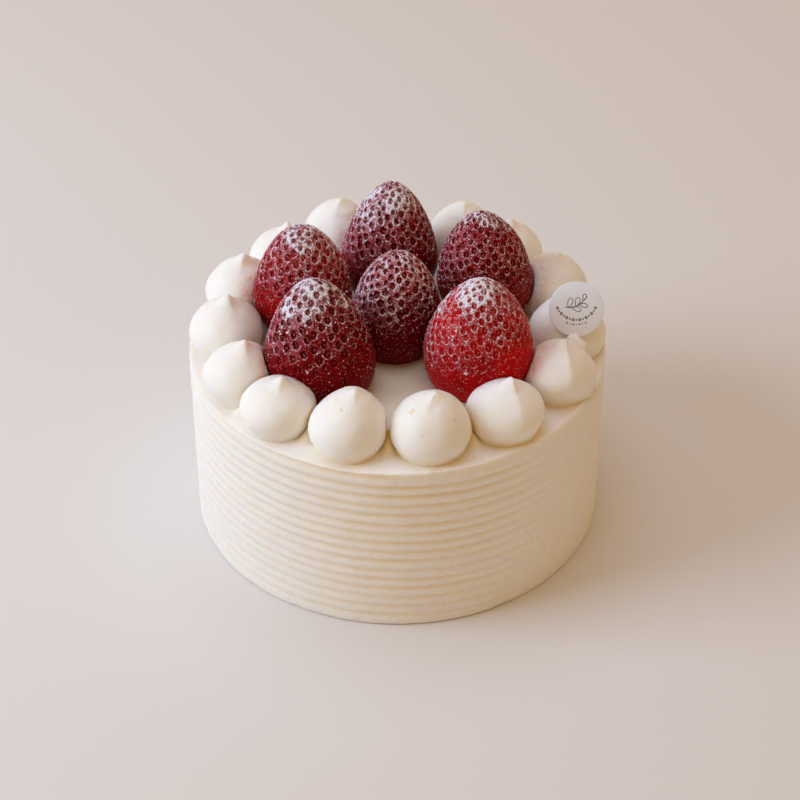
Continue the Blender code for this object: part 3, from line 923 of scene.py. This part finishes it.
def grain_shape():
    """Points and faces of one sugar grain, a twenty-sided lump."""
    golden = (1.0 + math.sqrt(5.0)) / 2.0
    points = []
    for a in (-1.0, 1.0):
        for b in (-golden, golden):
            points += [(0.0, a, b), (a, b, 0.0), (b, 0.0, a)]
    points = np.array(points) / math.hypot(1.0, golden)
    close = 1.06
    faces = []
    for a in range(12):
        for b in range(a + 1, 12):
            for c in range(b + 1, 12):
                trio = points[[a, b, c]]
                if max(np.linalg.norm(trio[0] - trio[1]), np.linalg.norm(trio[1] - trio[2]),
                       np.linalg.norm(trio[0] - trio[2])) < close:
                    outward = np.dot(np.cross(trio[1] - trio[0], trio[2] - trio[0]), trio[0]) > 0.0
                    faces.append((a, b, c) if outward else (a, c, b))
    return points, np.array(faces)


def turned_axes(count, rng):
    """Random directions for loose grains."""
    axes, _ = np.linalg.qr(rng.normal(size=(count, 3, 3)))
    return axes


def tag_frame():
    """Centre of the tag, and the directions across it, up it and out of its face."""
    lean = Matrix.Rotation(math.pi / 2.0 - TAG_LEAN, 3, "X")
    across = lean @ Vector((1.0, 0.0, 0.0))
    up = lean @ Vector((0.0, 1.0, 0.0))
    out = lean @ Vector((0.0, 0.0, 1.0))
    return [np.array(v) for v in (TAG_CENTRE, across, up, out)]


def turned_mesh(name, line, centre, axes, sides):
    """Closed round mesh turned from (radius, height) points along an axis."""
    turn = np.linspace(0.0, math.tau, sides, endpoint=False)
    inner = np.array(line[1:-1])
    flat = np.stack([np.outer(inner[:, 0], np.cos(turn)), np.outer(inner[:, 0], np.sin(turn)),
                     np.repeat(inner[:, 1][:, None], sides, axis=1)], axis=-1)
    rings = centre + flat @ np.array(axes)
    ends = [centre + height * np.array(axes[2]) for _, height in (line[0], line[-1])]
    return ring_mesh(name, rings, ends[0], ends[1])


def ribbon(points, width, lift, closed=False):
    """Flat band along points in the tag's plane, as points and faces."""
    line = np.array(points, float)
    ahead = np.roll(line, -1, axis=0) - line
    behind = line - np.roll(line, 1, axis=0)
    if not closed:
        ahead[-1] = behind[-1]
        behind[0] = ahead[0]
    way = ahead + behind
    way /= np.linalg.norm(way, axis=1, keepdims=True)
    side = np.stack([-way[:, 1], way[:, 0]], axis=1) * 0.5
    wide = np.broadcast_to(np.asarray(width, float), (len(line),))[:, None]
    left, right = line + side * wide, line - side * wide
    flat = np.concatenate([left, right])
    solid = np.concatenate([np.c_[flat, np.full(len(flat), lift)], np.c_[flat, np.zeros(len(flat))]])
    count = len(line)
    faces = []
    for step in range(count if closed else count - 1):
        after = (step + 1) % count
        a, b, c, d = step, after, count + after, count + step
        low = 2 * count
        faces += [(a, d, c, b), (a + low, b + low, c + low, d + low)]
        faces += [(a, b, b + low, a + low), (d + low, c + low, c, d)]
    if not closed:
        end = count - 1
        faces += [(0, 2 * count, 3 * count, count), (end, count + end, 3 * count + end, 2 * count + end)]
    return solid, faces


def colour_of(name, description, *default):
    """A setting for a colour."""
    return FloatVectorProperty(name=name, description=description, default=default, min=0.0, max=1.0,
                               size=3, subtype="COLOR")


def share_of(name, description, default):
    """A setting for a share from 0 to 1."""
    return FloatProperty(name=name, description=description, default=default, min=0.0, max=1.0,
                         subtype="FACTOR")


def length_of(name, description, default, least, most):
    """A setting for a length in metres."""
    return FloatProperty(name=name, description=description, default=default, min=least, max=most,
                         unit="LENGTH")


def power_of(name, description, default):
    """A setting for a light's power in watts."""
    return FloatProperty(name=name, description=description, default=default, min=0.0, max=200.0,
                         unit="POWER")


def number_of(name, description, default, least, most):
    """A setting for a whole number."""
    return IntProperty(name=name, description=description, default=default, min=least, max=most)


class CoatSettings(PropertyGroup):
    """Sizes and colours of the combed coat."""
    ridge_depth: length_of("Ridge depth", "Depth of the comb's grooves under the rim", 0.00110, 0.0, 0.002)
    ridge_depth_at_foot: length_of("Ridge depth at the foot", "Depth of the comb's grooves at the foot",
                                0.00070, 0.0, 0.002)
    columns: number_of("Columns", "Points round the coat", 400, 48, 900)
    side_rows: number_of("Side rows", "Points down the side", 196, 40, 400)
    top_rows: number_of("Top rows", "Points across the top", 34, 8, 120)
    cream: colour_of("Cream", "Colour of the coat", 0.940, 0.905, 0.855)
    shade: colour_of("Cream patches", "Colour of the coat's warmer patches", 0.930, 0.885, 0.820)
    # Colour of the painted glow and shade in creases
    crease_glow: colour_of("Crease", "Colour of the cream in creases and grooves", 1.000, 0.680, 0.200)
    # Colour of the painted pink reflection of the strawberries
    berry_bounce: colour_of("Painted_bounce", "Colour of the cream beside the strawberries", 0.900, 0.560, 0.500)
    fleck: colour_of("Flecks", "Colour of the small shadows between crumbs", 0.620, 0.470, 0.370)
    roughness: share_of("Roughness", "How matt the cream is", 0.55)
    translucency: share_of("Translucency", "Share of the light that goes into the cream", 0.90)
    light_reach: length_of("Light reach", "How far light goes into the cream", 0.0024, 0.0, 0.02)
    crumb: share_of("Crumb", "Strength of the crumbly skin", 0.95)


class DollopSettings(PropertyGroup):
    """Sizes and colours of the piped dollops."""
    columns: number_of("Columns", "Points round a dollop", 72, 16, 256)
    rows: number_of("Rows", "Points down a dollop", 56, 16, 256)
    fold: share_of("Tip fold", "Strength of the fold in the tip", 0.34)
    unevenness: length_of("Unevenness", "Height of the soft dents in the dome", 0.00019, 0.0, 0.002)
    cream: colour_of("Cream", "Colour of the piped cream", 0.950, 0.925, 0.880)
    shade: colour_of("Cream patches", "Colour of the cream's warmer patches", 0.940, 0.905, 0.850)
    # Colour of the painted glow and shade in creases
    crease_glow: colour_of("Crease", "Colour of the cream in creases", 1.000, 0.680, 0.200)
    # Colour of the painted pink reflection of the strawberries
    berry_bounce: colour_of("Painted_bounce", "Colour of the cream beside the strawberries", 0.900, 0.560, 0.500)
    fleck: colour_of("Flecks", "Colour of the small shadows between crumbs", 0.620, 0.470, 0.370)
    roughness: share_of("Roughness", "How matt the cream is", 0.46)
    translucency: share_of("Translucency", "Share of the light that goes into the cream", 1.00)
    light_reach: length_of("Light reach", "How far light goes into the cream", 0.0034, 0.0, 0.02)
    crumb: share_of("Crumb", "Strength of the fine skin texture", 0.36)


class StrawberrySettings(PropertyGroup):
    """Sizes and colours of the strawberries and their seeds."""
    columns: number_of("Columns", "Points round a strawberry", 276, 48, 600)
    rows: number_of("Rows", "Points down a strawberry", 140, 32, 400)
    pit_width: length_of("Pit width", "Width of the pit round a seed", 0.0021, 0.0005, 0.005)
    pit_depth: length_of("Pit depth", "Depth of the pit round a seed", 0.00072, 0.0, 0.002)
    seed_length: length_of("Seed length", "Length of a seed", 0.00088, 0.0002, 0.003)
    bright_red: colour_of("Bright red", "Skin of the least ripe strawberry", 0.520, 0.003, 0.005)
    dark_red: colour_of("Dark red", "Skin of the ripest strawberry", 0.130, 0.001, 0.003)
    deep_red: colour_of("Deep red", "Darker patches in the skin", 0.150, 0.001, 0.002)
    # Painted shade inside the pits
    pit_shade_red: colour_of("Pit red", "Skin inside the pits", 0.060, 0.001, 0.002)
    # Painted sheen: a paler red standing in for the key light on the side that faces it
    flush: colour_of("Painted_sheen", "Paler red of the side that faces the light", 0.600, 0.120, 0.180)
    # Colour of the thin veil of sugar over the skin
    bloom: colour_of("Bloom", "Pale film on the skin", 0.540, 0.280, 0.340)
    speck: colour_of("Specks", "Colour of the damp specks of sugar", 0.760, 0.400, 0.380)
    sugar: colour_of("Icing sugar", "Colour of the icing sugar", 0.800, 0.790, 0.880)
    seed_pale: colour_of("Pale seed", "Colour of the palest seeds", 0.600, 0.200, 0.110)
    seed_red: colour_of("Red seed", "Colour of the reddest seeds", 0.300, 0.012, 0.008)
    roughness: share_of("Roughness", "How matt the bare skin is", 0.36)
    gloss: share_of("Gloss", "Strength of the shine on the skin", 0.05)


class SugarSettings(PropertyGroup):
    """Loose grains of icing sugar."""
    grains_each: number_of("Grains", "Loose grains on each strawberry", 760, 0, 5000)
    grains_on_cream: number_of("Grains on cream", "Grains fallen beside the strawberries", 500, 0, 5000)
    grain_size: length_of("Grain size", "Half width of an average grain", 0.000115, 0.00002, 0.001)


class TagSettings(PropertyGroup):
    """Sizes and colours of the round tag."""
    edge: length_of("Edge round", "Rounding of the card's edge", 0.00022, 0.0, 0.0004)
    line_width: length_of("Line width", "Width of the printed lines", 0.00026, 0.0001, 0.001)
    # The blue-lilac of the card and its fibres is a painted reflection of cool light on a white card
    card: colour_of("Card", "Colour of the card", 0.840, 0.900, 1.000)
    card_shade: colour_of("Card fibres", "Colour of the card's fibres", 0.790, 0.850, 0.970)
    ink: colour_of("Ink", "Colour of the print", 0.035, 0.030, 0.035)


class StageSettings(PropertyGroup):
    """Camera, lights and floor."""
    key_power: power_of("Key power", "Power of the soft light from the left", 11.6)
    key_size: length_of("Key size", "Width of the soft light", 0.70, 0.05, 3.0)
    key_colour: colour_of("Key colour", "Colour of the soft light", 0.62, 0.79, 1.00)
    top_power: power_of("Top power", "Power of the soft light from above", 7.6)
    top_size: length_of("Top size", "Width of the light from above", 1.2, 0.05, 3.0)
    top_colour: colour_of("Top colour", "Colour of the light from above", 0.55, 0.72, 1.00)
    fill: FloatProperty(name="Fill", description="Strength of the light from all round", default=0.50,
                        min=0.0, max=5.0)
    fill_colour: colour_of("Fill colour", "Colour of the light from all round", 0.98, 0.600, 0.252)
    floor: colour_of("Floor", "Colour of the pale floor", 0.78, 0.77, 0.76)
    lens: FloatProperty(name="Lens", description="Focal length of the camera", default=99.0, min=10.0,
                        max=300.0)


class ShortcakeSettings(PropertyGroup):
    """All settings of the shortcake."""
    coat: PointerProperty(type=CoatSettings, name="Coat", description="The combed coat")
    dollops: PointerProperty(type=DollopSettings, name="Dollops", description="The piped dollops")
    berries: PointerProperty(type=StrawberrySettings, name="Strawberries", description="The strawberries")
    sugar: PointerProperty(type=SugarSettings, name="Sugar", description="The loose icing sugar")
    tag: PointerProperty(type=TagSettings, name="Tag", description="The round tag")
    stage: PointerProperty(type=StageSettings, name="Stage", description="Camera, lights and floor")


def skin_of(name, berries):
    """The skin of a strawberry at the sizes in its settings."""
    return berry_surface(name, berries.rows, berries.columns, berries.pit_width, berries.pit_depth)


class SHORTCAKE_OT_coat(Operator):
    """Builds the combed cream coat"""
    bl_idname = "shortcake.coat"
    bl_label = "Combed Coat"

    def execute(self, context):
        sizes = context.scene.shortcake.coat
        rings, grooves, on_top = coat_rings(sizes)
        marks = coat_creases(rings, grooves, on_top)
        mesh = marked_mesh("cream_coat", rings, marks, (0.0, 0.0, CAKE_HEIGHT), (0.0, 0.0, 0.0))
        show("cream_coat", mesh, whipped_cream("cream_coat", sizes, 0.35), ["cake_body"])
        return {"FINISHED"}


class SHORTCAKE_OT_dollops(Operator):
    """Builds the ring of piped dollops"""
    bl_idname = "shortcake.dollops"
    bl_label = "Piped Dollops"

    def execute(self, context):
        sizes = context.scene.shortcake.dollops
        cream = whipped_cream("piped_cream", sizes, 1.0)
        for index in range(len(DOLLOPS)):
            rings, marks = dollop_rings(index, sizes)
            peak = rings[0].mean(axis=0)
            sole = (*dollop_centre(index), rings[-1, 0, 2])
            node = f"dollop_{index + 1:02d}"
            mesh = marked_mesh(f"piped_{node}", rings, marks, peak, sole)
            show(f"piped_{node}", mesh, cream, [node])
        return {"FINISHED"}


class SHORTCAKE_OT_strawberries(Operator):
    """Builds the six strawberries"""
    bl_idname = "shortcake.strawberries"
    bl_label = "Strawberries"

    def execute(self, context):
        look = context.scene.shortcake.berries
        for name, berry in BERRIES.items():
            rings, marks = skin_of(name, look)[:2]
            sole = (berry.x, berry.y, rings[-1, 0, 2])
            mesh = marked_mesh(f"sugared_{name}", rings, marks, rings[0].mean(axis=0), sole)
            skin = strawberry_skin(name, look, DUSTING[name])
            show(f"sugared_{name}", mesh, skin, [f"strawberry_{name}"])
        return {"FINISHED"}


class SHORTCAKE_OT_seeds(Operator):
    """Sets a seed in every pit of the strawberries"""
    bl_idname = "shortcake.seeds"
    bl_label = "Seeds"

    def execute(self, context):
        look = context.scene.shortcake.berries
        rng = np.random.default_rng(31)
        points, faces = seed_shape()
        places, axes, sizes = [], [], []
        for name in BERRIES:
            spots, sides, downs, outs, pit = skin_of(name, look)[2:]
            length = look.seed_length * (0.6 + 0.4 * pit / pit.max()) * rng.uniform(0.85, 1.1, len(spots))
            places.append(spots)
            axes.append(np.stack([sides, -downs, outs], axis=1))
            sizes.append(np.stack([0.62 * length, length, 0.50 * length], axis=1))
        mesh = joined_mesh("strawberry_seeds", points, faces, np.concatenate(places), np.concatenate(axes),
                           np.concatenate(sizes))
        show("strawberry_seeds", mesh, seed_material(look))
        return {"FINISHED"}


def skin_points(rings):
    """Points of a skin in one list, and the way out at each."""
    return rings.reshape(-1, 3), row_normals(rings).reshape(-1, 3)


class SHORTCAKE_OT_sugar(Operator):
    """Scatters loose grains of icing sugar"""
    bl_idname = "shortcake.sugar"
    bl_label = "Icing Sugar"

    def execute(self, context):
        settings = context.scene.shortcake
        rng = np.random.default_rng(57)
        points, faces = grain_shape()
        places, growth = [], []
        for name, berry in BERRIES.items():
            rings, marks = skin_of(name, settings.berries)[:2]
            flat, out = skin_points(rings)
            powder, away = marks["powder"].ravel(), marks["pit"].ravel()
            height = (flat[:, 2] - TOP_LEVEL) / berry.height
            wide = np.hypot(flat[:, 0] - berry.x, flat[:, 1] - berry.y)
            chance = wide * (0.05 + 0.7 * powder * (1.0 - 0.8 * powder)
                             + 0.16 * smooth_step(0.12, 0.40, height))
            chance *= (height > 0.06) * (0.4 + 0.6 * np.clip(out[:, 2] + 0.4, 0.0, 1.0))
            chance *= 0.15 + 0.85 * smooth_step(0.7, 1.1, away)
            picked = rng.choice(len(flat), settings.sugar.grains_each, replace=False, p=chance / chance.sum())
            places.append(flat[picked] + out[picked] * 0.00006)
            growth.append(np.ones(len(picked)))
            clumps = np.repeat(rng.choice(picked, CLUMPS_EACH, replace=False), GRAINS_IN_CLUMP)
            spread = CLUMP_SPREAD * rng.normal(size=(len(clumps), 3))
            spread -= out[clumps] * np.sum(spread * out[clumps], axis=1, keepdims=True)
            places.append(flat[clumps] + spread + out[clumps] * 0.00008)
            growth.append(rng.uniform(1.1, 1.9, len(clumps)))
        for index in range(len(DOLLOPS)):
            rings = dollop_rings(index, settings.dollops)[0]
            flat, out = skin_points(rings)
            inner = np.exp(-(np.hypot(flat[:, 0], flat[:, 1]) - 0.046) / 0.005)
            chance = np.clip(inner, 0.0, 1.5) * np.clip(out[:, 2], 0.0, 1.0)
            count = settings.sugar.grains_on_cream // len(DOLLOPS)
            picked = rng.choice(len(flat), count, replace=False, p=chance / chance.sum())
            places.append(flat[picked] + out[picked] * 0.00004)
            growth.append(np.ones(len(picked)))
        places = np.concatenate(places)
        width = settings.sugar.grain_size * rng.lognormal(0.0, 0.35, len(places)) * np.concatenate(growth)
        stretch = rng.uniform(0.7, 1.3, (len(places), 3))
        mesh = joined_mesh("icing_sugar_grains", points, faces, places, turned_axes(len(places), rng),
                           width[:, None] * stretch)
        show("icing_sugar_grains", mesh, sugar_material(settings.berries))
        return {"FINISHED"}


class SHORTCAKE_OT_tag(Operator):
    """Builds the round tag, its pick and its print"""
    bl_idname = "shortcake.tag"
    bl_label = "Round Tag"

    def execute(self, context):
        look = context.scene.shortcake.tag
        centre, across, up, out = tag_frame()
        edge, half = look.edge, TAG_THICK / 2.0
        card = tag_material(look)
        line = [(0.0, half), (0.5 * TAG_RADIUS, half), (TAG_RADIUS - edge, half)]
        for step in range(1, 4):
            turn = step * math.pi / 6.0
            line.append((TAG_RADIUS - edge + edge * math.sin(turn), half - edge + edge * math.cos(turn)))
        line += [(radius, -height) for radius, height in reversed(line)]
        disc = turned_mesh("tag_disc", line, centre, (across, up, out), 96)
        show("tag_disc", disc, card, ["tag_pick"])
        start = centre - out * PICK_SET_BACK - up * (TAG_RADIUS - PICK_OVERLAP)
        drop = start[2] - CAKE_HEIGHT - 2.0 * GAP - PICK_RADIUS * math.cos(math.pi / 2.0 - TAG_LEAN)
        length = drop / up[2]
        rod = [(0.0, 0.0), (PICK_RADIUS * 0.8, 0.0), (PICK_RADIUS, -0.0002), (PICK_RADIUS, -length + 0.002),
               (0.3 * PICK_RADIUS, -length), (0.0, -length)]
        pick = turned_mesh("tag_pick_rod", rod, start, (across, -out, up), 16)
        show("tag_pick_rod", pick, card)
        self.make_print(look, centre, (across, up, out), half)
        self.make_mound(context, centre - up * TAG_RADIUS)
        return {"FINISHED"}

    def make_print(self, look, centre, axes, half):
        """Prints a plain leafy sprig over a curved row of dots."""
        points, faces = [], []

        def stamp(made):
            solid, flat_faces = made
            faces.extend([tuple(i + sum(map(len, points)) for i in face) for face in flat_faces])
            points.append(solid)

        width, lift = look.line_width, PRINT_LIFT
        stem = [(-0.0040 + 0.0078 * t, 0.0008 + 0.0036 * t - 0.0016 * math.sin(math.pi * t))
                for t in np.linspace(0.0, 1.0, 13)]
        stamp(ribbon(stem, width, lift))
        for at, side, reach in ((2, 1, 0.0034), (4, -1, 0.0032), (6, 1, 0.0032), (8, -1, 0.0028),
                                (10, 1, 0.0024)):
            x, y = stem[at]
            turn = math.radians(28.0 + side * 46.0)
            leaf = []
            for t in np.linspace(0.0, math.tau, 17)[:-1]:
                along = 0.5 * reach * (1.0 - math.cos(t))
                wide = 0.24 * reach * math.sin(t) * (1.0 - 0.35 * math.cos(t))
                leaf.append((x + along * math.cos(turn) - wide * math.sin(turn),
                             y + along * math.sin(turn) + wide * math.cos(turn)))
            stamp(ribbon(leaf, 0.85 * width, lift, closed=True))
        for sweep, count, spread, large in ((0.0074, 15, 9.2, 0.00036), (0.0090, 7, 7.0, 0.00022)):
            for step in range(count):
                turn = math.radians(-90.0 + (step - (count - 1) / 2.0) * spread)
                x, y = sweep * math.cos(turn), sweep * math.sin(turn) + 0.0036
                size = large if step % 2 == 0 else 0.62 * large
                dot = [(x + size * math.cos(a), y + size * math.sin(a))
                       for a in np.linspace(0, math.tau, 11)[:-1]]
                stamp(ribbon(dot, 0.9 * size, lift, closed=True))
        flat = np.concatenate(points)
        flat[:, 2] += half
        mesh = bpy.data.meshes.new("tag_print")
        mesh.from_pydata((centre + flat @ np.array(axes)).tolist(), [], faces)
        show("tag_print", mesh, ink_material(look))

    def make_mound(self, context, foot):
        """Pushes up a lump of cream round the foot of the tag, on the shoulder of its dollop."""
        settings = context.scene.shortcake
        turn = full_turn(60)
        slope = np.linspace(0.06, math.pi, 32)[:, None]
        wide, deep, tall = MOUND_SIZE
        rings = np.stack([wide * np.sin(slope) * np.cos(turn), deep * np.sin(slope) * np.sin(turn),
                          tall * np.cos(slope) * np.ones_like(turn)], axis=-1)
        rings *= 1.0 + 0.26 * cloud(rings, 0.0030, 91)[..., None] + 0.10 * cloud(rings, 0.0013, 92)[..., None]
        rings += foot + np.array(MOUND_OFFSET)
        mesh = ring_mesh("tag_foot_cream", rings, rings[0].mean(axis=0), rings[-1].mean(axis=0))
        for mark, value in (("crease_glow", 0.0), ("open", 0.5), ("berry_bounce", 0.0)):
            paint(mesh, mark, np.full(len(mesh.vertices), value))
        show("tag_foot_cream", mesh, whipped_cream("tag_foot_cream", settings.dollops, 1.0))


class SHORTCAKE_OT_stage(Operator):
    """Sets up the camera, the soft lights and the pale floor"""
    bl_idname = "shortcake.stage"
    bl_label = "Stage"

    def execute(self, context):
        look = context.scene.shortcake.stage
        scene = context.scene
        camera = bpy.data.cameras.new("camera")
        camera.lens = look.lens
        camera.sensor_width = 36.0
        camera.clip_start = 0.01
        camera.clip_end = 20.0
        scene.camera = self.put("camera", camera)
        scene.camera.matrix_world = (Matrix.Translation(CAMERA_PLACE)
                                     @ Matrix.Rotation(math.pi / 2.0 - CAMERA_DOWN, 4, "X")
                                     @ Matrix.Rotation(CAMERA_ROLL, 4, "Z"))
        key_way = Vector(KEY_WAY)
        key_place = key_way * KEY_AWAY + Vector((0.0, 0.0, KEY_RAISED))
        self.add_light("key_light", look.key_power, look.key_size, look.key_colour, key_place, key_way)
        self.add_light("top_light", look.top_power, look.top_size, look.top_colour, Vector(TOP_PLACE),
                       Vector(TOP_PLACE))
        world = bpy.data.worlds.new("soft_room")
        world.use_nodes = True
        sky = world.node_tree.nodes["Background"]
        sky.inputs["Color"].default_value = colour(look.fill_colour)
        sky.inputs["Strength"].default_value = look.fill
        scene.world = world
        half = FLOOR_HALF
        mesh = bpy.data.meshes.new("floor")
        mesh.from_pydata([(-half, -half, 0.0), (half, -half, 0.0), (half, half, 0.0), (-half, half, 0.0)],
                         [], [(0, 1, 2, 3)])
        nodes = Nodes("pale_floor")
        nodes.set(Base_Color=colour(look.floor), Roughness=0.85, Specular_IOR_Level=0.2)
        mesh.materials.append(nodes.material)
        self.put("floor", mesh)
        scene.view_settings.view_transform = "Standard"
        return {"FINISHED"}

    def put(self, name, data):
        """Adds an object to the scene."""
        obj = bpy.data.objects.new(name, data)
        bpy.context.scene.collection.objects.link(obj)
        return obj

    def add_light(self, name, strength, width, hue, place, way):
        """Adds a soft square light at a place that shines back along a way."""
        light = bpy.data.lights.new(name, "AREA")
        light.energy = strength
        light.size = width
        light.color = hue
        lamp = self.put(name, light)
        lamp.location = place
        lamp.rotation_mode = "QUATERNION"
        lamp.rotation_quaternion = way.to_track_quat("Z", "Y")


class SHORTCAKE_PT_panel(Panel):
    """Lists the steps that build the shortcake"""
    bl_idname = "SHORTCAKE_PT_panel"
    bl_label = "Strawberry Shortcake"
    bl_space_type = "VIEW_3D"
    bl_region_type = "UI"
    bl_category = "Shortcake"

    def draw(self, context):
        for step in STEPS:
            self.layout.operator(step.bl_idname)


SETTINGS = (CoatSettings, DollopSettings, StrawberrySettings, SugarSettings, TagSettings, StageSettings,
            ShortcakeSettings)
STEPS = (SHORTCAKE_OT_coat, SHORTCAKE_OT_dollops, SHORTCAKE_OT_strawberries, SHORTCAKE_OT_seeds,
         SHORTCAKE_OT_sugar, SHORTCAKE_OT_tag, SHORTCAKE_OT_stage)


def register():
    for item in (*SETTINGS, *STEPS, SHORTCAKE_PT_panel):
        bpy.utils.register_class(item)
    bpy.types.Scene.shortcake = PointerProperty(type=ShortcakeSettings)


def unregister():
    del bpy.types.Scene.shortcake
    for item in reversed((*SETTINGS, *STEPS, SHORTCAKE_PT_panel)):
        bpy.utils.unregister_class(item)


def main():
    """Builds everything in order."""
    register()
    bpy.ops.shortcake.coat()
    bpy.ops.shortcake.dollops()
    bpy.ops.shortcake.strawberries()
    bpy.ops.shortcake.seeds()
    bpy.ops.shortcake.sugar()
    bpy.ops.shortcake.tag()
    bpy.ops.shortcake.stage()


if __name__ == "__main__":
    main()
